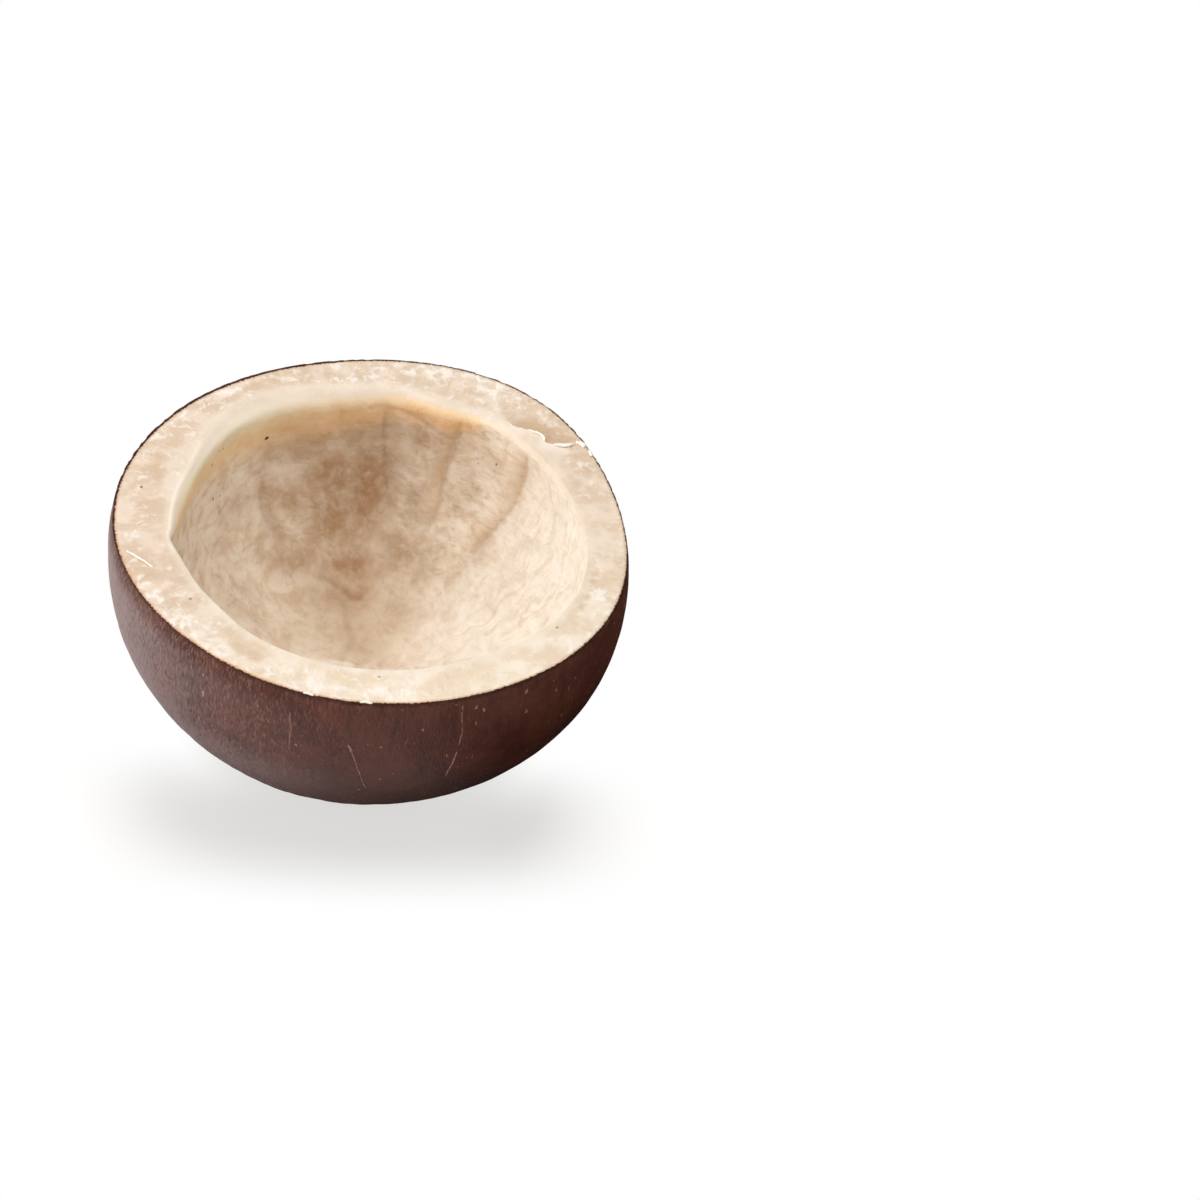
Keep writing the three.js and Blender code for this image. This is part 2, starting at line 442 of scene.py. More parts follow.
# %% Wrinkles of the skin
ribs = 0.11 * cloud(meridian, (5, 5, 55), 2, 7) + 0.05 * cloud(meridian, (1.7, 1.7, 22), 2, 8)
dents = 0.06 * cloud(places, (8, 8, 8), 2, 9)
above_rest = ease(RADIUS, 6, 16) * (1 - 0.7 * near_angle(310, 75))
skin_relief = (ribs * above_rest + dents * ease(places[:, 2], 0, 6)) * ease(DEPTH, 0, 2)

# %% The uneven cut and its chipped edge
rim_waves = 0.10 * cloud(places, (6, 6, 6), 2, 10) + 0.03 * cloud(places, (1.3, 1.3, 1.3), 2, 11)
edge_share = 1 - ease(np.abs(STATION), 0, 0.012)
chips = np.clip(cloud(meridian * [1, 1, 0], (1.3, 1.3, 1), 3, 12) - 0.05, 0, 1) * 0.5

NICKS = [  # angle, half width in degrees, depth
    (268.3, 1.7, 0.7), (253.8, 1.0, 0.4), (331, 2.0, 0.5), (229, 1.2, 0.4), (197, 1.5, 0.4),
    (146, 1.5, 0.4), (64, 1.5, 0.5), (29, 2.5, 0.8),
]
for angle, half_width, depth in NICKS:
    chips += depth * near_angle(angle, half_width)

relief = np.where(on_skin, skin_relief, np.where(on_lining, lining_relief, rim_waves))
places = places + normals * relief[:, None]
CHIP_SLOPE = 0.6  # how far down a chip bites for each millimetre inwards
inward = -np.column_stack([np.cos(turn), np.sin(turn), np.full(len(turn), CHIP_SLOPE)])
places += inward * (chips * edge_share)[:, None]
places[:, 2] = np.clip(places[:, 2], 0, None)
write_places(half.data, places)
print("relief from", round(relief.min(), 2), "to", round(relief.max(), 2), "mm")


MM_A_STATION = 60
MM_A_DEGREE = 0.7


def nearest_place(station, degrees):
    """Where the finished surface lies at a station and an angle."""
    away = np.hypot((STATION - station) * MM_A_STATION, turn_from(degrees) * MM_A_DEGREE)
    return places[away.argmin()]

# %% [markdown]
# ## Shavings on the rim
#
# Where the saw broke through, it left a few thin curls of flesh on the cut. A curl
# is a strip that tapers and bends. Here a small grid is laid along a line of
# points, thickened and smoothed; one function makes them all, each from its line.

# %% A strip that follows a line over the rim
def on_rim(angle, share, height=0.0):
    """A point over the cut face, by its share of the way from the edge to the lip."""
    point = mean_shape(np.array([float(share)]), np.array([float(angle)]))[0]
    return point - MIDDLE + np.array([0, 0, height])


LOOK_AHEAD = 0.04  # shares of the length over which a strip's direction is taken
STRIP_LIFT = 0.20
STRIP_THICKNESS = 0.22


def shaving(line, half_width):
    """A thin tapered strip of flesh that follows a line of rim points."""
    points = np.array([on_rim(*point) for point in line])
    length = np.concatenate([[0], np.cumsum(np.linalg.norm(np.diff(points, axis=0), axis=1))])
    deselect_all()
    bpy.ops.mesh.primitive_grid_add(x_subdivisions=16, y_subdivisions=2, size=0.002)
    strip = bpy.context.object
    flat = read_places(strip.data)
    share = (flat[:, 0] + 1) / 2

    def along_line(share):
        """The points of the line that lie at these shares of its length."""
        return np.column_stack([np.interp(share * length[-1], length, side) for side in points.T])

    path = along_line(share)
    ahead = along_line(share + LOOK_AHEAD) - along_line(share - LOOK_AHEAD)
    across = np.cross([0, 0, 1], ahead)
    across /= np.linalg.norm(across, axis=1)[:, None]
    taper = np.sin(np.pi * (0.06 + 0.88 * share)) ** 0.5 * half_width
    raggedness = 0.12 * cloud(path, (0.7, 0.7, 0.7), 2, 21)
    laid = path + across * (flat[:, 1] * taper + raggedness * taper / half_width)[:, None]
    laid[:, 2] += STRIP_LIFT - 0.5 * half_width * flat[:, 1] ** 2
    write_places(strip.data, laid)
    thick = strip.modifiers.new("thick", "SOLIDIFY")
    thick.thickness = STRIP_THICKNESS * MM
    thick.offset = 0
    soft = strip.modifiers.new("soft", "SUBSURF")
    soft.levels = soft.render_levels = 1
    bpy.ops.object.modifier_apply(modifier="thick")
    bpy.ops.object.modifier_apply(modifier="soft")
    return strip


# %% Lay the shavings out
SHAVINGS = [  # (angle, share of the way from edge to lip, height) points, then half width
    ([(193.6, 0.16, 0.0), (195.8, 0.28, 0.1), (198.0, 0.38, 0.1), (200.8, 0.48, 0.0)], 0.28),
    ([(34.8, 0.60, 0.0), (33.6, 0.50, 0.2), (32.8, 0.42, 0.2), (32.4, 0.32, 0.2),
      (32.3, 0.22, 0.0)], 0.50),
    ([(32.8, 0.16, 0.0), (31.8, 0.10, 0.2), (30.8, 0.07, 0.2), (30.0, 0.09, 0.0)], 0.55),
    ([(28.6, 0.04, 0.0), (27.6, 0.04, 0.2), (26.4, 0.07, 0.0)], 0.36),
    ([(255.8, 0.02, 0.0), (256.8, 0.04, 0.1), (258.2, 0.02, 0.0)], 0.30),
    ([(268.2, 0.03, 0.0), (269.4, 0.05, 0.1), (271.0, 0.02, 0.0)], 0.30),
    ([(43.4, 0.76, 0.0), (41.2, 0.68, 0.1), (39.3, 0.64, 0.1), (37.8, 0.67, 0.1),
      (36.9, 0.73, 0.0)], 0.30),
]
strips = [shaving(line, half_width) for line, half_width in SHAVINGS]
deselect_all()
for strip in strips:
    strip.select_set(True)
bpy.context.view_layer.objects.active = strips[0]
bpy.ops.object.join()
shavings = bpy.context.object
shavings.name = shavings.data.name = "rim_shavings"
shade_by_angle(shavings, 60)
print("shavings:", len(strips), "in", len(shavings.data.polygons), "faces")

# %% [markdown]
# ## Recipes for materials
#
# A material is a small tree of nodes. The helpers below let it be written as a
# recipe: a ground colour, then one layer over another, each through its own
# share. They serve the paper and the sky of the studio as well. Patterns on the
# half read its object coordinates, counted in millimetres, so a size in a recipe
# is a size on the half.

# %% Helpers that make nodes
def srgb(red, green, blue):
    """A colour as a screen shows it, 0 to 255, made linear for a shader."""
    parts = [channel / 255 for channel in (red, green, blue)]
    return tuple(
        part / 12.92 if part <= 0.04045 else ((part + 0.055) / 1.055) ** 2.4 for part in parts
    ) + (1,)


def feed(made, inputs):
    """Sets a node's inputs, each to a number, a colour or an output of another node."""
    for socket, value in inputs.items():
        if isinstance(value, bpy.types.NodeSocket):
            tree.links.new(value, made.inputs[socket])
        else:
            made.inputs[socket].default_value = value


def node(kind, inputs=None, **settings):
    """Adds a node to the tree in work."""
    made = tree.nodes.new("ShaderNode" + kind)
    for setting, value in settings.items():
        setattr(made, setting, value)
    feed(made, inputs or {})
    return made


def calc(operation, *values):
    """One step of arithmetic."""
    return node("Math", dict(enumerate(values)), operation=operation).outputs[0]


def times(first, *others):
    """The product of values."""
    for other in others:
        first = calc("MULTIPLY", first, other)
    return first


def plus(*parts):
    """The sum of values, each given with its weight."""
    total = 0.0
    for value, weight in parts:
        total = calc("MULTIPLY_ADD", value, weight, total)
    return total


def remap(value, low, high, to_low=0.0, to_high=1.0, curve="SMOOTHSTEP"):
    """Turns low to high into 0 to 1, or into other limits, smoothly."""
    limits = {"From Min": low, "From Max": high, "To Min": to_low, "To Max": to_high}
    return node("MapRange", {"Value": value, **limits}, interpolation_type=curve).outputs[0]


def new_material(name):
    """Starts a material. Its tree comes with it, to be the one in work."""
    material = bpy.data.materials.new(name)
    material.use_nodes = True
    return material, material.node_tree

# %% [markdown]
# ## The camera and the light
#
# The camera looks down on the cup from in front. A large soft lamp stands behind
# it to the left, so that the far wall of the hollow lies in its own shade.

# %% Camera
VIEW_DISTANCE = 0.5081
VIEW_ELEVATION = math.radians(43.14)
AIM_BESIDE_RIM = Vector((0.0398, -0.0180, 0))
CAMERA_ROLL = math.radians(6.759)
LENS_MM = 85
SENSOR_MM = 36

rim_centre = Vector((*(-MIDDLE[:2] * MM), HALF_HIGH.z))
back_from_rim = Vector((0, -math.cos(VIEW_ELEVATION), math.sin(VIEW_ELEVATION)))
camera_data = bpy.data.cameras.new("camera")
camera_data.lens = LENS_MM
camera_data.sensor_width = SENSOR_MM
camera = bpy.data.objects.new("camera", camera_data)
bpy.context.scene.collection.objects.link(camera)
camera.location = rim_centre + back_from_rim * VIEW_DISTANCE
looking = rim_centre + AIM_BESIDE_RIM - camera.location
facing = looking.to_track_quat("-Z", "Y").to_matrix().to_4x4()
rolled = Matrix.Rotation(CAMERA_ROLL, 4, "Z")
camera.matrix_world = Matrix.Translation(camera.location) @ facing @ rolled
bpy.context.scene.camera = camera
print("camera above the rim, mm:", round((camera.location.z - rim_centre.z) / MM))

# %% Lamps
def soft_lamp(name, place, width, depth, power):
    """A softbox that faces the cup."""
    data = bpy.data.lights.new(name, "AREA")
    data.shape = "RECTANGLE"
    data.size = width
    data.size_y = depth
    data.energy = power
    lamp = bpy.data.objects.new(name, data)
    bpy.context.scene.collection.objects.link(lamp)
    lamp.location = place
    lamp.rotation_euler = (rim_centre - lamp.location).to_track_quat("-Z", "Y").to_euler()
    return lamp


LAMPS = [  # name, place, width, depth, power
    ("key_softbox", (-0.32, 0.26, 0.80), 1.0, 0.6, 4.35),
    ("side_softbox", (-0.80, -0.05, 0.32), 0.5, 0.5, 4.4),
    ("right_softbox", (0.32, -0.05, 0.90), 0.6, 0.6, 2.7),
    ("front_fill", (-0.1, -0.8, 0.7), 0.9, 0.9, 1.8),
]
half_lamps = [soft_lamp(*lamp) for lamp in LAMPS]
paper_lamp = soft_lamp("paper_lamp", (0.03, 0.25, 0.60), 0.45, 0.5, 6.0)
print("lamps:", len(half_lamps), "for the half and 1 for the paper")

# %% White sky
SKY_ON_THINGS = 0.2


def seen_or_mirrored():
    """1 on the rays that draw the picture: straight, reflected or refracted."""
    rays = node("LightPath").outputs
    bent = calc("MAXIMUM", rays["Is Glossy Ray"], rays["Is Transmission Ray"])
    return calc("MAXIMUM", rays["Is Camera Ray"], bent)


world = bpy.data.worlds.new("studio")
bpy.context.scene.world = world
world.use_nodes = True
tree = world.node_tree
brightness = remap(seen_or_mirrored(), 0.0, 1.0, SKY_ON_THINGS, 1.0, "LINEAR")
feed(tree.nodes["Background"], {"Color": (1, 1, 1, 1), "Strength": brightness})

# %% [markdown]
# ## The paper and the card
#
# The half stands on white paper that keeps its soft shade and is pure white
# elsewhere. A plain white floor would turn grey towards its edges. So the paper
# shows its lit surface only within two soft ovals round the half, and glows white
# outside them. Right under the half it glows less: a painted contact shadow.
# Light linking gives the paper a lamp of its own, so that its shade can be set
# without changing the half. A dark card beside the half, which the camera doesn't
# see, takes light from its right side, as a second half beside it would.

# %% Paper floor
deselect_all()
bpy.ops.mesh.primitive_plane_add(size=8)
floor = bpy.context.object
floor.name = floor.data.name = "studio_floor"


def fade_out(centre, half_size, low, high):
    """0 inside an oval on the paper and 1 outside it, smooth between."""
    limits = {"Location": (*centre, 0), "Scale": (*half_size, 1)}
    place = node("TexCoord").outputs["Object"]
    stretched = node("Mapping", {"Vector": place, **limits}, vector_type="TEXTURE").outputs[0]
    distance = node("VectorMath", {0: stretched}, operation="LENGTH").outputs["Value"]
    return remap(distance, low, high)


HALF_OVAL = ((0, 0), (0.046, 0.046))
SHADE_OVAL = ((-0.0005, -0.0308), (0.095, 0.0207))
paper, tree = new_material("studio_paper")
tree.nodes.clear()
# less glow right under the half: a painted contact shadow on the paper
glow_strength = remap(fade_out(*HALF_OVAL, 0.2, 0.6), 0.0, 1.0, 0.12, 0.67, "LINEAR")
glow = node("Emission", {"Color": (1, 0.99, 0.975, 1), "Strength": glow_strength})
lit = node("BsdfDiffuse", {"Color": (0.42, 0.416, 0.408, 1)})
shown = node("AddShader", {0: lit.outputs[0], 1: glow.outputs[0]})
bounced = node("BsdfDiffuse", {"Color": (0.5, 0.5, 0.5, 1)})
camera_ray = node("LightPath").outputs["Is Camera Ray"]
near = node("MixShader", {0: camera_ray, 1: bounced.outputs[0], 2: shown.outputs[0]})
clear_of_half = fade_out(*HALF_OVAL, 0.5, 0.8)
clear_of_shade = fade_out(*SHADE_OVAL, 0.19, 1.03)
far = times(clear_of_half, clear_of_shade, seen_or_mirrored())
surface = node("MixShader", {0: far, 1: near.outputs[0], 2: node("Emission").outputs[0]})
node("OutputMaterial", {"Surface": surface.outputs[0]})
floor.data.materials.append(paper)
print("paper nodes:", len(tree.nodes))

# %% A dark card beside the half
CARD_LEAN = math.radians(20)
CARD_PLACE = (0.085, -0.01, 0.026)
CARD_SIZE = (0.13, 0.22, 1)
deselect_all()
bpy.ops.mesh.primitive_plane_add(size=1, location=CARD_PLACE, rotation=(0, -CARD_LEAN, 0))
card = bpy.context.object
card.name = card.data.name = "studio_dark_card"
card.scale = CARD_SIZE
bpy.ops.object.transform_apply(location=True, rotation=True, scale=True)
card.visible_camera = False
card.visible_shadow = False
felt, tree = new_material("studio_felt")
feed(tree.nodes["Principled BSDF"], {"Base Color": (0.02, 0.01, 0.008, 1), "Roughness": 0.9})
card.data.materials.append(felt)

# %% The paper has a lamp of its own
lit_paper = bpy.data.collections.new("lit_paper")
lit_half = bpy.data.collections.new("lit_half")
casting = bpy.data.collections.new("casts_on_paper")
lit_paper.objects.link(floor)
for item in (half, shavings):
    lit_half.objects.link(item)
    casting.objects.link(item)
for lamp in half_lamps:
    lamp.light_linking.receiver_collection = lit_half
paper_lamp.light_linking.receiver_collection = lit_paper
paper_lamp.light_linking.blocker_collection = casting

# %% [markdown]
# ## What the finish has to know
#
# The finish follows the half's own anatomy, with some light and shade painted in.
# The cut testa is a hairline at the outer edge, chalky flecks sit where the saw
# crumbled the flesh, and the oil has turned the flesh golden and waxy under the
# back lip, where painted glow stands in for the light that comes through. Painted
# shade darkens the creases, the stains on the back wall and the back of the
# bottom, and painted light brightens the worn back lip and the right wall. A
# painter would mask these areas by hand. Here each is a soft number that every
# vertex carries, and the shader breaks its outline up with fine noise.

# %% Distances across the rim
edge_places = mean_shape(np.zeros(len(DEGREES)), DEGREES)
rim_width = np.hypot(edge_places[:, 0], edge_places[:, 1])
rim_width -= ring_value(MOUTH, DEGREES) + ring_value(LIP_WIDTH, DEGREES)
rim_share = np.clip(STATION, 0, 1)
edge_gap = rim_share * rim_width
lip_gap = (1 - rim_share) * rim_width
on_rim_face = (STATION >= 0) * (STATION <= 1)


def oval_reach(angle, half_length, values, centre, half_height):
    """0 in the middle of an oval patch, 1 on its outline and more outside it."""
    return np.hypot(turn_from(angle) / half_length, (values - centre) / half_height)


print("band of cut flesh, mm:", round(rim_width.min(), 1), "to", round(rim_width.max(), 1))

# %% Marks for the rim
HAIRLINE = [  # angle, width of the cut skin
    (0, 0.25), (60, 0.35), (90, 0.45), (115, 0.65), (140, 0.65), (165, 0.5), (190, 0.35),
    (220, 0.25), (250, 0.3), (268, 0.45), (290, 0.25), (330, 0.2),
]
CRUMBLED = [  # angle, how thickly the chalky flecks lie
    (5, 0.05), (28, 0.3), (40, 0.3), (52, 0.7), (75, 0.8), (95, 0.5), (115, 0.35),
    (135, 0.6), (155, 0.45), (172, 0.2), (190, 0.12), (200, 0.4), (213, 0.7),
    (228, 0.65), (245, 0.35), (262, 0.75), (276, 0.5), (290, 0.1), (308, 0.1),
    (325, 0.4), (336, 0.6), (348, 0.1),
]
FRESH = [  # angle, 1 where the cut is clean and pale, 0 where its oil has darkened it
    (10, 0.25), (45, 0.15), (75, 0.3), (100, 0.1), (140, 0.05), (180, 0.1), (210, 0.05),
    (235, 0.35), (255, 0.85), (285, 1.0), (305, 1.0), (330, 0.6),
]
TAN_PATCHES = [  # angle, gap from the edge, half length in degrees, half width
    (46, 2.6, 13, 3.2), (25, 3.2, 7, 2.6), (64, 5.2, 4, 1.3), (76, 2.6, 3, 1.6),
    (168, 5.0, 13, 3.0), (203, 4.0, 6, 2.0), (238, 4.5, 6, 1.5), (122, 3.0, 6, 1.6),
    (338, 6.5, 12, 2.0),
]

crumbled = ring_value(CRUMBLED, DEGREES) * (1 - 0.75 * ease(edge_gap, 2.5, 6.5))
crumbled += 0.5 * near_angle(92, 32) * ease(lip_gap, 0.4, 1.4) * (1 - ease(lip_gap, 2, 3.2))
tan_patch = np.zeros(len(DEGREES))
for angle, gap_centre, half_length, half_width in TAN_PATCHES:
    reach = oval_reach(angle, half_length, edge_gap, gap_centre, half_width)
    tan_patch = np.maximum(tan_patch, (1 - ease(reach, 0.55, 1.25)) * on_rim_face)

write_marks(
    half.data,
    edge_gap=np.where(STATION >= 1, rim_width + 5 * (STATION - 1), edge_gap),
    lip_gap=lip_gap,
    hairline=ring_value(HAIRLINE, DEGREES),
    crumbled=crumbled * (STATION <= 1.2),
    tan_patch=tan_patch,
    fresh=ring_value(FRESH, DEGREES),
    lip_line=near_angle(176, 28),
    orange_edge=near_angle(235, 85),
    dull_lip=near_angle(12, 42),
    worn_lip=ease(STATION, 0.9, 1.2),
)

# %% Marks for the lining
GOLD_TOP = [  # angle, depth at which the pale lip turns golden
    (20, 0.1), (45, 0.3), (62, 0.6), (75, 0.8), (88, 1.0), (104, 1.6), (125, 2.1), (140, 1.6),
    (152, 0.9), (165, 0.4), (182, 0.5), (230, 0.3), (330, 0.3),
]
GOLD_FOOT = [  # angle, depth at which the gold has faded into the tan wall
    (20, 0.3), (38, 0.4), (50, 1.2), (56, 2.2), (63, 5.0), (75, 5.0), (88, 6.5), (104, 8.0),
    (125, 9.0), (140, 7.8), (155, 7.0), (170, 5.0), (182, 3.2), (190, 0.6), (230, 0.3),
    (330, 0.3),
]
GOLD_LIGHT = [  # angle, 1 where the gold is palest, with painted light where the lip faces away from the lamps; 0 where it is deepest
    (30, 0.6), (54, 0.8), (64, 0.2), (78, 0.15), (90, 0.5), (105, 0.5), (120, 0.75),
    (135, 1.0), (165, 1.0), (177, 0.7), (190, 0.2), (340, 0.2),
]
STAINS = [  # angle, station, half length in degrees, half height, darkness; stains that carry painted shade on the back wall
    (92, 2.31, 12, 0.23, 1.0), (105, 2.27, 12, 0.13, 0.9), (104, 2.40, 16, 0.16, 0.9),
    (111, 2.14, 14, 0.10, 0.65), (118, 2.33, 9, 0.10, 0.65), (92, 2.11, 18, 0.08, 0.65),
    (75, 2.09, 8, 0.09, 0.75), (78, 2.52, 14, 0.09, 0.7), (100, 2.57, 20, 0.09, 0.95),
    (122, 2.53, 14, 0.08, 0.7), (104, 2.68, 26, 0.08, 0.65), (140, 2.27, 8, 0.05, 0.4),
    (137, 2.47, 4, 0.05, 0.4), (127, 2.40, 3, 0.17, 0.5), (155, 2.52, 5, 0.04, 0.3),
    (166, 2.50, 6, 0.12, 0.2), (52, 2.12, 10, 0.07, 0.35), (70, 2.20, 5, 0.10, 0.4),
    (74, 2.35, 7, 0.14, 0.5), (43, 2.42, 3, 0.10, 0.3), (64, 2.55, 8, 0.10, 0.55),
    (66, 2.72, 16, 0.07, 0.45), (58, 2.26, 7, 0.12, 0.3),
]
SHADED_BOTTOM = (-3, 6, 13, 16)  # x, y of the middle of the tan, shaded bottom, and its half sizes; the shade is painted
BOTTOM_TAN = [  # angle, how tan and how darkened by painted shade the bottom is towards that side
    (5, 0.5), (25, 0.6), (45, 0.85), (70, 1.0), (120, 0.9), (150, 0.7), (166, 0.7), (174, 0.3),
    (181, 0.05), (195, 0.35), (225, 0.4), (260, 0.3), (290, 0.55), (315, 0.5), (340, 0.2),
]
gold_top = ring_value(GOLD_TOP, DEGREES)
gold_foot = ring_value(GOLD_FOOT, DEGREES)
# the oily golden band under the back lip, its colour partly a painted glow of light through the
# thin wall
waxy = ease(DEPTH, 0.1 * gold_top, 1.6 * gold_top)
waxy *= 1 - ease(DEPTH, 0.35 * gold_foot, 1.5 * gold_foot)
waxy *= np.clip((gold_foot - 0.3) / 3, 0, 1)
# painted light on the worn back lip, whose slope lies in shade
lip_pale = near_angle(130, 45) * ease(STATION, 1.1, 1.7)
lip_pale *= 1 - ease(DEPTH, gold_top, 2 * gold_top)
stained = np.zeros(len(DEGREES))
# stains, with the shade of the back wall painted into them
for angle, station, half_length, half_height, darkness in STAINS:
    reach = oval_reach(angle, half_length, STATION, station, half_height)
    stained = np.maximum(stained, darkness * np.exp(-1.2 * reach**2) * on_lining)
middle_x, middle_y, half_x, half_y = SHADED_BOTTOM
bottom_away = np.hypot((places[:, 0] - middle_x) / half_x, (places[:, 1] - middle_y) / half_y)
# the bottom's tan tone, with the shade of its back painted in
tan_bottom = np.exp(-(bottom_away**2)) * ease(STATION, 2.4, 2.7)
# a paler tone on the right wall and the front bottom, with painted light where the right wall
# faces the lamps
pale = near_angle(8, 58) * ease(STATION, 1.8, 2.0) * (1 - ease(STATION, 2.6, 2.95))
pale *= beside_folds[0] < 0.2
pale = np.maximum(pale, 0.5 * near_angle(290, 60) * ease(STATION, 2.3, 2.7))

write_marks(
    half.data,
    waxy=waxy * (STATION >= 0),
    gold_way=np.clip((DEPTH - gold_top) / (gold_foot - gold_top + 0.5), 0, 1),
    gold_light=np.clip(ring_value(GOLD_LIGHT, DEGREES), 0, 1),
    lip_pale=lip_pale * (STATION >= 0),
    stained=stained,
    pale=pale,
    tan_bottom=tan_bottom * ring_value(BOTTOM_TAN, DEGREES),
    creased=crease_mark * on_lining,
    beside_fold_a=np.clip(beside_folds[0], -9, 9),
    sharp_fold_a=sharp_folds[0] * on_lining,
    beside_fold_b=np.clip(beside_folds[1], -9, 9),
    sharp_fold_b=sharp_folds[1] * on_lining,
    bottom=ease(STATION, 2.5, 2.8),
    lining=ease(STATION, 1.4, 2.02),
)
print("stained share of the lining:", round((stained[on_lining] > 0.3).mean(), 2))

# %% Marks for the skin
STREAKY = [  # angle, how strongly the fine fibres of the husk show
    (0, 0.5), (60, 0.7), (120, 0.9), (180, 1.0), (222, 1.0), (245, 0.75), (270, 0.3),
    (300, 0.14), (330, 0.2),
]
BLOOM = [  # angle, how much a dull film and a painted sheen grey the skin
    (0, 0.0), (60, 0.2), (120, 0.6), (170, 1.0), (198, 1.1), (215, 0.75), (235, 0.3),
    (262, 0.05), (320, 0.0),
]
SPECKED = [  # angle, how many tan specks it has
    (0, 0.4), (90, 0.3), (200, 0.1), (250, 0.35), (275, 1.0), (320, 1.0), (340, 0.6),
]
bloom = np.clip(ring_value(BLOOM, DEGREES), 0, 1) * ease(DEPTH, 1, 5)
# a painted sheen low on the left of the skin
low_bloom = near_angle(237, 42) * ease(DEPTH, 12, 25)
write_marks(
    half.data,
    specked=ring_value(SPECKED, DEGREES),
    below_edge=np.clip(DEPTH, 0, 9),
    upper_front=near_angle(292, 48) * (1 - ease(DEPTH, 5, 15)),
    # painted shade on the low front of the skin, which is also made duller
    underneath=(1 - ease(places[:, 2], 14, 34)) * near_angle(300, 85),
    streaky=ring_value(STREAKY, DEGREES) * ease(RADIUS, 4, 14),
    bloom=np.maximum(bloom, low_bloom),
)

# %% Marks for the long fibres left on the skin
FIBRES = [  # (angle, depth below the cut) points, then half width and brightness
    ([(290.4, 1.2), (290.2, 4.0), (290.6, 7.5), (290.2, 11.0)], 0.13, 0.6),
    ([(290.0, 12.3), (289.7, 14.5), (289.0, 17.1), (288.5, 20.3)], 0.17, 0.9),
    ([(266.6, 9.4), (267.4, 11.2)], 0.26, 1.0),
    ([(267.5, 11.4), (268.2, 13.5), (269.2, 16.5), (270.2, 19.8), (271.2, 22.4)], 0.10, 0.7),
    ([(253.5, 4.0), (253.9, 8.5), (253.7, 13.7)], 0.13, 0.3),
    ([(316.9, 5.6), (316.6, 8.4)], 0.12, 0.5),
    ([(318.8, 4.4), (318.4, 5.8)], 0.12, 0.5),
    ([(279.0, 7.6), (278.2, 9.8)], 0.08, 0.4),
    ([(24.0, 6.0), (26.0, 20.0)], 0.12, 0.4),
    ([(115.0, 9.0), (113.0, 24.0)], 0.13, 0.5),
    ([(152.0, 5.0), (153.5, 16.0)], 0.10, 0.4),
]
FAR_FROM_FIBRES = 50.0
fibre_side = np.full(len(DEGREES), FAR_FROM_FIBRES)
fibre_strength = np.zeros(len(DEGREES))
for line, half_width, brightness in FIBRES:
    angles, depths = np.array(line, float).T
    sideways = np.radians(turn_from(np.interp(DEPTH, depths, angles))) * RADIUS
    along = ease(DEPTH, depths[0] - 0.3, depths[0] + 0.8)
    along *= 1 - ease(DEPTH, depths[-1] - 0.8, depths[-1] + 0.3)
    near_fibre = on_skin & (np.abs(sideways) < 2.6) & (along > 0)
    fibre_side[near_fibre] = sideways[near_fibre] / half_width
    fibre_strength[near_fibre & (np.abs(sideways) < 1.4)] = brightness
    fibre_strength[near_fibre] *= along[near_fibre]
write_marks(half.data, fibre_side=fibre_side, fibre_strength=fibre_strength)
print("vertices beside fibres:", int((fibre_strength > 0).sum()))

# %% Marks for the broken ledge of the rim
LEDGE = [  # angle, share of the way from edge to lip
    (47.5, 0.92), (43.4, 0.76), (41.2, 0.68), (39.3, 0.64), (37.9, 0.66), (36.9, 0.73),
    (35.7, 0.66), (34.6, 0.58), (33.4, 0.50), (32.6, 0.38),
]
ledge_side = distance_to_line(places, np.array([on_rim(*point) for point in LEDGE]))
outside = np.sign(np.interp(DEGREES, *np.array(LEDGE[::-1]).T) - STATION)
near_ledge = near_angle(40, 13) * (STATION > 0) * (STATION < 1)
write_marks(
    half.data,
    ledge_side=np.where(on_skin | on_lining, -9, ledge_side * outside),
    near_ledge=np.clip(2.2 * near_ledge, 0, 1),
)
print("marks on the half:", len(half.data.attributes))

# %% [markdown]
# ## Patterns
#
# Flesh and skin are streaked and clouded in their own directions: down the wall,
# across the cut, round in swirls. Each pattern is plain noise, and what gives it
# its direction is the place that it is read at. So these helpers bend, stretch
# and stir the coordinates, and one of them lays colours over each other.

# %% Helpers that make patterns
def vector(operation, first, second=(0, 0, 0)):
    """One step of arithmetic on vectors. SCALE takes a number second."""
    other = 3 if operation == "SCALE" else 1
    return node("VectorMath", {0: first, other: second}, operation=operation).outputs[0]


def blend(under, over, share):
    """Lays one colour over another."""
    return node("Mix", {0: share, 6: under, 7: over}, data_type="RGBA").outputs[2]


def layered(ground, *layers):
    """Lays colours over a ground in turn, each given with its share."""
    for over, share in layers:
        ground = blend(ground, over, share)
    return ground


def grain(places, size, detail=2.0, roughness=0.5):
    """Soft random values around 0.5, with spots about this many millimetres long."""
    inputs = {"Vector": places, "Scale": 1 / size, "Detail": detail, "Roughness": roughness}
    return node("TexNoise", inputs).outputs["Fac"]


def swing(pattern, amount):
    """Random values made to swing evenly to both sides of 0."""
    return times(calc("SUBTRACT", pattern, 0.5), amount)


def mark(name):
    """A number that the vertices carry."""
    return node("Attribute", attribute_name=name).outputs["Fac"]


def millimetres():
    """Object coordinates in millimetres."""
    return vector("SCALE", node("TexCoord").outputs["Object"], 1000.0)


def shaken(places, size, amount):
    """Coordinates pushed about at random, so that a pattern swirls."""
    clouds = node("TexNoise", {"Vector": places, "Scale": 1 / size, "Detail": 1.0})
    push = vector("SUBTRACT", clouds.outputs["Color"], (0.5, 0.5, 0.5))
    return vector("ADD", places, vector("SCALE", push, amount))


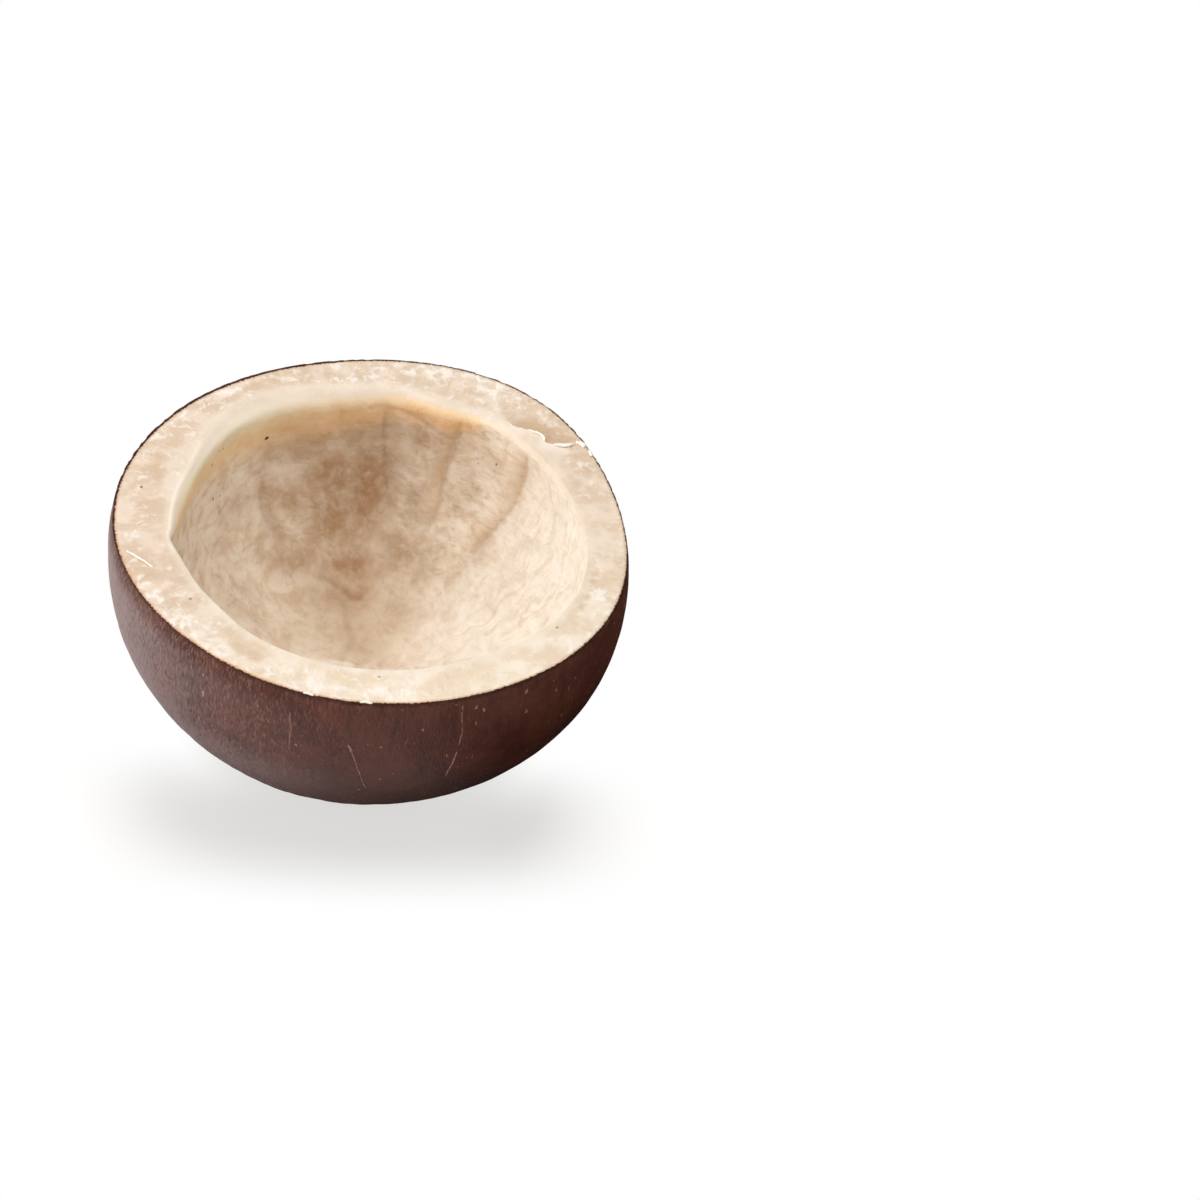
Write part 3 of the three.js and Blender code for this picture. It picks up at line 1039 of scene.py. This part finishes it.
def along_meridians(places, radius, stretch):
    """Coordinates in which a pattern runs in streaks from the cut to the bottom."""
    outward = vector("NORMALIZE", vector("MULTIPLY", places, (1, 1, 0)))
    downward = vector("MULTIPLY", places, (0, 0, stretch))
    return vector("ADD", vector("SCALE", outward, radius), downward)


def across_the_cut(places, radius, stretch):
    """Coordinates in which a pattern runs in streaks from the skin to the hollow."""
    level = vector("MULTIPLY", places, (1, 1, 0))
    distance = node("VectorMath", {0: level}, operation="LENGTH").outputs["Value"]
    inward = node("CombineXYZ", {"Z": times(distance, stretch)}).outputs[0]
    return vector("ADD", along_meridians(places, radius, 0.0), inward)

# %% [markdown]
# ## The flesh
#
# Dried flesh is cream, cloudy with oil and nearly matt. On the cut it is crumbled
# into chalky flecks, torn along one ledge, and edged by its skin; the ledge gets a
# painted highlight on its edge and a painted shadow under the flap. In the hollow
# it is threaded and blotched, and stained in the folds, with painted shade mixed
# into the stains on the back wall, in the creases, beside two sharp folds and on
# the back of the bottom. Painted light brightens the worn back lip and the right
# wall, and the wall under the back lip is golden, where painted glow stands in for
# the light that it lets through. One material does both, so that they run into
# each other at the lip without a seam, and each layer is let in by its own mark.

# %% Flesh: the ground colour of the cut
flesh, tree = new_material("dried_flesh")
places_mm = millimetres()
cloudy = grain(places_mm, 5.0, 3.0, 0.55)
mottled = grain(shaken(places_mm, 3.0, 1.5), 1.5, 3.0, 0.6)
saw_lines = grain(across_the_cut(places_mm, 40.0, 0.14), 0.5, 2.0, 0.6)
paler = remap(cloudy, 0.38, 0.62)
oily_flesh = blend(srgb(212, 187, 162), srgb(227, 207, 187), paler)
fresh_flesh = blend(srgb(230, 210, 184), srgb(242, 228, 209), paler)
tan_share = remap(calc("ADD", mark("tan_patch"), swing(mottled, 2.4)), 0.3, 1.2, 0.0, 0.5)
cut_colour = layered(
    oily_flesh,
    (fresh_flesh, mark("fresh")),
    (srgb(209, 184, 157), remap(mottled, 0.5, 0.75, 0.0, 0.28)),
    (srgb(241, 229, 213), remap(saw_lines, 0.52, 0.75, 0.0, 0.28)),
    (srgb(206, 178, 149), tan_share),
)

# %% Flesh: chalky flecks and the pale border of the hollow
flake_places = shaken(across_the_cut(places_mm, 24.0, 1.3), 2.5, 1.2)
flakes = grain(flake_places, 0.9, 2.0, 0.55)
fleck_share = plus((flakes, 1.0), (grain(places_mm, 3.0, 1.0), 0.5), (mark("crumbled"), 0.22))
fleck_share = times(remap(fleck_share, 0.98, 1.24), calc("SUBTRACT", 1.0, tan_share))
clumps = grain(shaken(places_mm, 3.0, 1.5), 1.7, 3.0, 0.5)
clump_share = remap(plus((clumps, 1.0), (mark("crumbled"), 0.24)), 0.56, 0.84, 0.0, 0.8)
inner_border = remap(plus((mark("lip_gap"), 1.0), (mottled, 1.2)), 1.0, 2.4, 0.55, 0.0)
inner_border = times(inner_border, calc("MULTIPLY_ADD", mark("dull_lip"), -0.7, 1.0))
off_lip_line = calc("ABSOLUTE", calc("SUBTRACT", mark("lip_gap"), 0.2))
lip_line = times(remap(off_lip_line, 0.12, 0.35, 1.0, 0.0), mark("lip_line"))
cut_colour = layered(
    cut_colour,
    (srgb(246, 236, 225), clump_share),
    (srgb(252, 247, 240), times(fleck_share, 0.75)),
    (srgb(235, 221, 203), inner_border),
    (srgb(244, 230, 212), times(lip_line, 0.7)),
)

# %% Flesh: the broken ledge and the cut skin
ledge = calc("ADD", mark("ledge_side"), swing(grain(places_mm, 0.8, 2.0), 0.9))
near_ledge = mark("near_ledge")
above_ledge = times(remap(ledge, -3.0, -0.1, 0.0, 0.6), remap(ledge, 0.0, 0.15, 1.0, 0.0))
# below the ledge: tan flesh with the shadow of the flap painted in
below_ledge = times(remap(ledge, 0.0, 0.25), remap(ledge, 1.0, 5.5, 1.0, 0.0), near_ledge)
# a painted highlight along the flap's edge
ledge_edge = remap(calc("ABSOLUTE", ledge), 0.08, 0.30, 1.0, 0.0)
ragged = swing(grain(places_mm, 0.5, 3.0, 0.7), 0.9)
from_skin = plus((mark("edge_gap"), 1.0), (ragged, 1.0), (mark("hairline"), -1.0))
edge_colour = blend(srgb(205, 178, 150), srgb(212, 150, 98), mark("orange_edge"))
cut_colour = layered(
    cut_colour,
    (srgb(246, 234, 219), times(above_ledge, near_ledge)),
    # tan with a painted shadow under the flap
    (srgb(196, 164, 132), times(below_ledge, 0.8)),
    # a painted highlight on the flap's edge
    (srgb(250, 240, 226), times(ledge_edge, near_ledge, 0.6)),
    (edge_colour, remap(from_skin, 0.0, 0.6, 0.85, 0.0)),
    (srgb(60, 29, 18), remap(from_skin, -0.1, 0.12, 1.0, 0.0)),
)

# %% Flesh: the patterns of the lining
blotches = grain(shaken(places_mm, 7.0, 5.0), 4.2, 4.0, 0.55)
small_blotches = grain(shaken(places_mm, 2.0, 2.0), 1.7, 3.0, 0.55)
wall_places = shaken(shaken(along_meridians(places_mm, 15.0, 0.95), 5.0, 4.5), 2.0, 1.2)
ripples = grain(wall_places, 1.3, 3.0, 0.5)
swirls = grain(shaken(shaken(places_mm, 9.0, 10.0), 3.0, 3.0), 2.2, 3.0, 0.55)
threads = blend(ripples, swirls, mark("bottom"))
fluff = grain(places_mm, 0.4, 2.0, 0.6)
shallow_folds = grain(shaken(places_mm, 8.0, 8.0), 5.5, 2.0)
shallow_folds = calc("ABSOLUTE", calc("SUBTRACT", shallow_folds, 0.5))
strokes = grain(along_meridians(shaken(places_mm, 5.0, 4.0), 26.0, 0.24), 1.3, 3.0, 0.55)
stain_share = times(mark("stained"), remap(small_blotches, 0.2, 0.65, 0.65, 0.98))


def fold_flank(fold):
    """The share of the painted shade on the hollow side of a sharp fold."""
    beside = mark("beside_fold_" + fold)
    flank = times(remap(beside, -0.2, 0.3), remap(beside, 0.0, 5.0, 1.0, 0.0))
    return times(flank, mark("sharp_fold_" + fold), 0.55)


# %% Flesh: the colours of the lining
lining_colour = layered(
    srgb(242, 228, 209),
    (srgb(216, 189, 161), remap(blotches, 0.42, 0.68, 0.0, 0.65)),
    (srgb(201, 169, 137), remap(small_blotches, 0.54, 0.76, 0.0, 0.4)),
    (srgb(250, 241, 228), remap(threads, 0.48, 0.70, 0.0, 0.38)),
    (srgb(196, 164, 131), remap(threads, 0.50, 0.30, 0.0, 0.30)),
    (srgb(206, 176, 144), remap(fluff, 0.52, 0.8, 0.0, 0.12)),
    # tan bottom with painted shade towards the back
    (srgb(194, 167, 137), times(mark("tan_bottom"), 0.7)),
    # stains with painted shade on the back wall
    (srgb(166, 125, 84), stain_share),
    # paler tone, partly painted light on the right wall
    (srgb(247, 240, 230), times(mark("pale"), 0.65)),
    (srgb(218, 197, 170), times(remap(strokes, 0.50, 0.36, 0.0, 0.48), mark("pale"))),
    # painted shade beside folds A and B
    (srgb(210, 178, 143), fold_flank("a")),
    (srgb(210, 178, 143), fold_flank("b")),
    # painted shade in the creases
    (srgb(150, 112, 76), times(mark("creased"), 0.4)),
)

# %% Flesh: the worn lip and the gold under it, with painted light and glow
gold_way = calc("ADD", mark("gold_way"), swing(mottled, 0.5))
gold_light = mark("gold_light")
# painted light: the gold is paler where the lip lies in shade
gold_top_colour = blend(srgb(240, 207, 164), srgb(255, 236, 206), gold_light)
gold_foot_colour = blend(srgb(230, 178, 120), srgb(255, 216, 158), gold_light)
gold_colour = blend(gold_top_colour, gold_foot_colour, remap(gold_way, 0.0, 0.8))
flesh_colour = layered(
    cut_colour,
    (srgb(224, 205, 180), times(mark("dull_lip"), mark("worn_lip"), 0.7)),
    (lining_colour, mark("lining")),
    # painted light on the worn back lip
    (srgb(255, 240, 218), times(mark("lip_pale"), 0.9)),
    # golden band, partly a painted glow of light through the thin lip
    (gold_colour, times(mark("waxy"), remap(blotches, 0.3, 0.6, 0.8, 1.0))),
)

# %% Flesh: a few dark specks
DARK_SPECKS = [  # station, angle, radius in millimetres, darkness
    (2.090, 125.0, 0.42, 1.0), (2.052, 149.0, 0.34, 0.6), (2.028, 143.0, 0.20, 0.8),
    (2.022, 145.5, 0.18, 0.6), (2.190, 149.2, 0.30, 0.7), (2.205, 146.0, 0.20, 0.5),
    (2.124, 49.5, 0.24, 0.7), (2.150, 56.0, 0.20, 0.5), (0.370, 171.8, 0.26, 0.8),
    (0.700, 215.2, 0.20, 0.7), (0.830, 272.8, 0.20, 0.5), (0.80, 321.5, 0.24, 0.5),
    (2.300, 230.0, 0.30, 0.6), (2.180, 305.0, 0.25, 0.6),
]
speck_places = shaken(places_mm, 0.5, 0.35)
for station, angle, size, darkness in DARK_SPECKS:
    ends = {0: speck_places, 1: tuple(nearest_place(station, angle))}
    away = node("VectorMath", ends, operation="DISTANCE").outputs["Value"]
    spot = remap(away, 0.7 * size, 1.4 * size, darkness, 0.0)
    flesh_colour = blend(flesh_colour, srgb(88, 56, 34), spot)

# %% Flesh: gloss, relief and depth
lining_height = plus(
    (threads, 0.30),
    (small_blotches, 0.32),
    (fluff, 0.04),
    (remap(shallow_folds, 0.0, 0.3, 0.0, 0.2), 1.0),
)
flesh_height = plus(
    (fleck_share, 0.06),
    (clump_share, 0.10),
    (saw_lines, 0.05),
    (below_ledge, -0.2),
    (lining_height, mark("lining")),
)
flesh_bump = node("Bump", {"Height": flesh_height, "Distance": 0.001, "Strength": 1.0})
feed(tree.nodes["Principled BSDF"], {
    "Base Color": flesh_colour,
    "Roughness": plus((remap(fleck_share, 0.0, 1.0, 0.42, 0.7), 1.0), (mark("lining"), 0.12)),
    "Normal": flesh_bump.outputs[0],
    "Specular IOR Level": 0.06,
    "Subsurface Weight": remap(mark("waxy"), 0.0, 1.0, 0.2, 0.75),
    "Subsurface Scale": 0.0022,
    "Subsurface Radius": (1.0, 0.9, 0.8),
})
print("flesh nodes:", len(tree.nodes))

# %% [markdown]
# ## The brown skin
#
# The testa is a thin, leathery brown skin with the print of the husk's fibres on
# it: streaks down its length, a grey bloom on one side that is partly a painted
# sheen, tan specks, and a few pale fibres that stayed stuck. Painted shade darkens
# its low front. The long fibres are few and lie in set places, so the vertices
# carry them. The rest is noise, drawn out along the meridians.

# %% Skin: the patterns
skin, tree = new_material("brown_skin")
places_mm = millimetres()
broad_streaks = grain(along_meridians(shaken(places_mm, 4.0, 1.6), 45.0, 0.12), 2.2, 2.0, 0.5)
fine_streaks = grain(along_meridians(shaken(places_mm, 1.8, 1.3), 45.0, 0.28), 0.36, 3.0, 0.6)
clouds = grain(places_mm, 9.0, 3.0, 0.55)
patches = grain(shaken(places_mm, 3.0, 2.0), 2.4, 4.0, 0.6)
pores = grain(places_mm, 0.35, 3.0, 0.7)
scratch_places = vector("MULTIPLY", shaken(places_mm, 4.0, 2.5), (0.22, 0.22, 1))
scratches = remap(grain(scratch_places, 0.32, 2.0, 0.6), 0.60, 0.72, 0.0, 0.45)
streaky = mark("streaky")

# %% Skin: tan specks, one in some of the cells of a mesh of cells
SPECK_SPACING = 1.1
speck_places = shaken(along_meridians(places_mm, 45.0, 0.5), 0.6, 0.9)
speck_cells = node("TexVoronoi", {"Vector": speck_places, "Scale": 1 / SPECK_SPACING}).outputs
speck_choice = node("SeparateColor", {0: speck_cells["Color"]}).outputs[0]
speck_limit = calc("MULTIPLY_ADD", mark("specked"), -0.26, 0.99)
speck_size = times(remap(speck_choice, speck_limit, 1.0), 0.27)
inside_speck = calc("SUBTRACT", speck_cells["Distance"], speck_size)
speck_share = remap(inside_speck, -0.04, 0.0, 0.85, 0.0)
speck_share = times(speck_share, calc("GREATER_THAN", speck_size, 0.03))

# %% Skin: long fibres and the shade under the cut edge
wobble = swing(grain(places_mm, 1.6, 3.0, 0.6), 3.0)
off_fibre = calc("ABSOLUTE", calc("ADD", mark("fibre_side"), wobble))
broken = remap(grain(places_mm, 0.8, 2.0), 0.40, 0.54, 0.2, 1.0)
fibre_share = times(remap(off_fibre, 0.4, 1.2, 1.0, 0.0), mark("fibre_strength"), broken)
tattered = swing(grain(places_mm, 0.7, 3.0, 0.6), 1.6)
edge_shade = remap(calc("ADD", mark("below_edge"), tattered), 0.1, 0.9, 0.65, 0.0)

# %% Skin: the colours
skin_colour = layered(
    srgb(88, 43, 31),
    (srgb(112, 61, 45), remap(clouds, 0.36, 0.66)),
    (srgb(112, 71, 58), remap(patches, 0.52, 0.72, 0.0, 0.5)),
    (srgb(128, 82, 68), times(mark("upper_front"), 0.5)),
    (srgb(50, 26, 20), remap(broad_streaks, 0.52, 0.75, 0.0, 0.35)),
    # a grey bloom that is partly a painted sheen
    (srgb(164, 142, 140), times(mark("bloom"), 0.62)),
    (srgb(160, 135, 127), times(remap(fine_streaks, 0.50, 0.70, 0.0, 0.6), streaky)),
    (srgb(38, 21, 18), times(remap(fine_streaks, 0.50, 0.32, 0.0, 0.65), streaky)),
    (srgb(132, 86, 68), times(scratches, remap(patches, 0.45, 0.6))),
    (srgb(204, 152, 124), speck_share),
    (srgb(248, 192, 164), fibre_share),
    (srgb(48, 21, 12), edge_shade),
    # painted shade on the low front of the skin
    (srgb(30, 13, 9), times(mark("underneath"), 0.9)),
)

# %% Skin: gloss and relief
skin_dullness = remap(fine_streaks, 0.3, 0.7, 0.40, 0.56)
skin_height = plus(
    (fine_streaks, 0.22),
    (pores, 0.05),
    (broad_streaks, 0.12),
    (fibre_share, 0.12),
    (speck_share, 0.12),
)
skin_bump = node("Bump", {"Height": skin_height, "Distance": 0.001, "Strength": 1.0})
feed(tree.nodes["Principled BSDF"], {
    "Base Color": skin_colour,
    "Roughness": plus((skin_dullness, 1.0), (mark("underneath"), 0.4)),
    "Normal": skin_bump.outputs[0],
    "Specular IOR Level": 0.22,
})
print("skin nodes:", len(tree.nodes))

# %% [markdown]
# ## The shavings, and dressing the half
#
# A shaving is flesh from deeper in, so it is fresher than the cut: almost white,
# and thin enough to glow a little. Then the half gets its two materials. A face
# is skin where its highest station is the cut edge or lies below it, so the change
# from brown to cream falls on the sharp edge itself and needs no painted line.

# %% Shavings: fresh, almost white flesh
curl, tree = new_material("fresh_shaving")
creamy = remap(grain(millimetres(), 0.6), 0.4, 0.7)
feed(tree.nodes["Principled BSDF"], {
    "Base Color": blend(srgb(252, 243, 230), srgb(240, 222, 200), creamy),
    "Roughness": 0.5,
    "Subsurface Weight": 0.2,
    "Subsurface Radius": (1.0, 0.65, 0.4),
    "Subsurface Scale": 0.0005,
})
shavings.data.materials.append(curl)
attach(shavings, "root")

# %% Dress the half
half.data.materials.append(flesh)
half.data.materials.append(skin)
corners = read(half.data.loops, "vertex_index", np.int32)
starts = read(half.data.polygons, "loop_start", np.int32)
is_skin = np.maximum.reduceat(STATION[corners], starts) <= 1e-5
half.data.polygons.foreach_set("material_index", is_skin.astype(np.int32))
shade_by_angle(half, 50)
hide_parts("coconut_half")
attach(half, "root")
print("skin faces:", int(is_skin.sum()), "of", len(is_skin))

# %% Colour management
bpy.context.scene.view_settings.view_transform = "Standard"
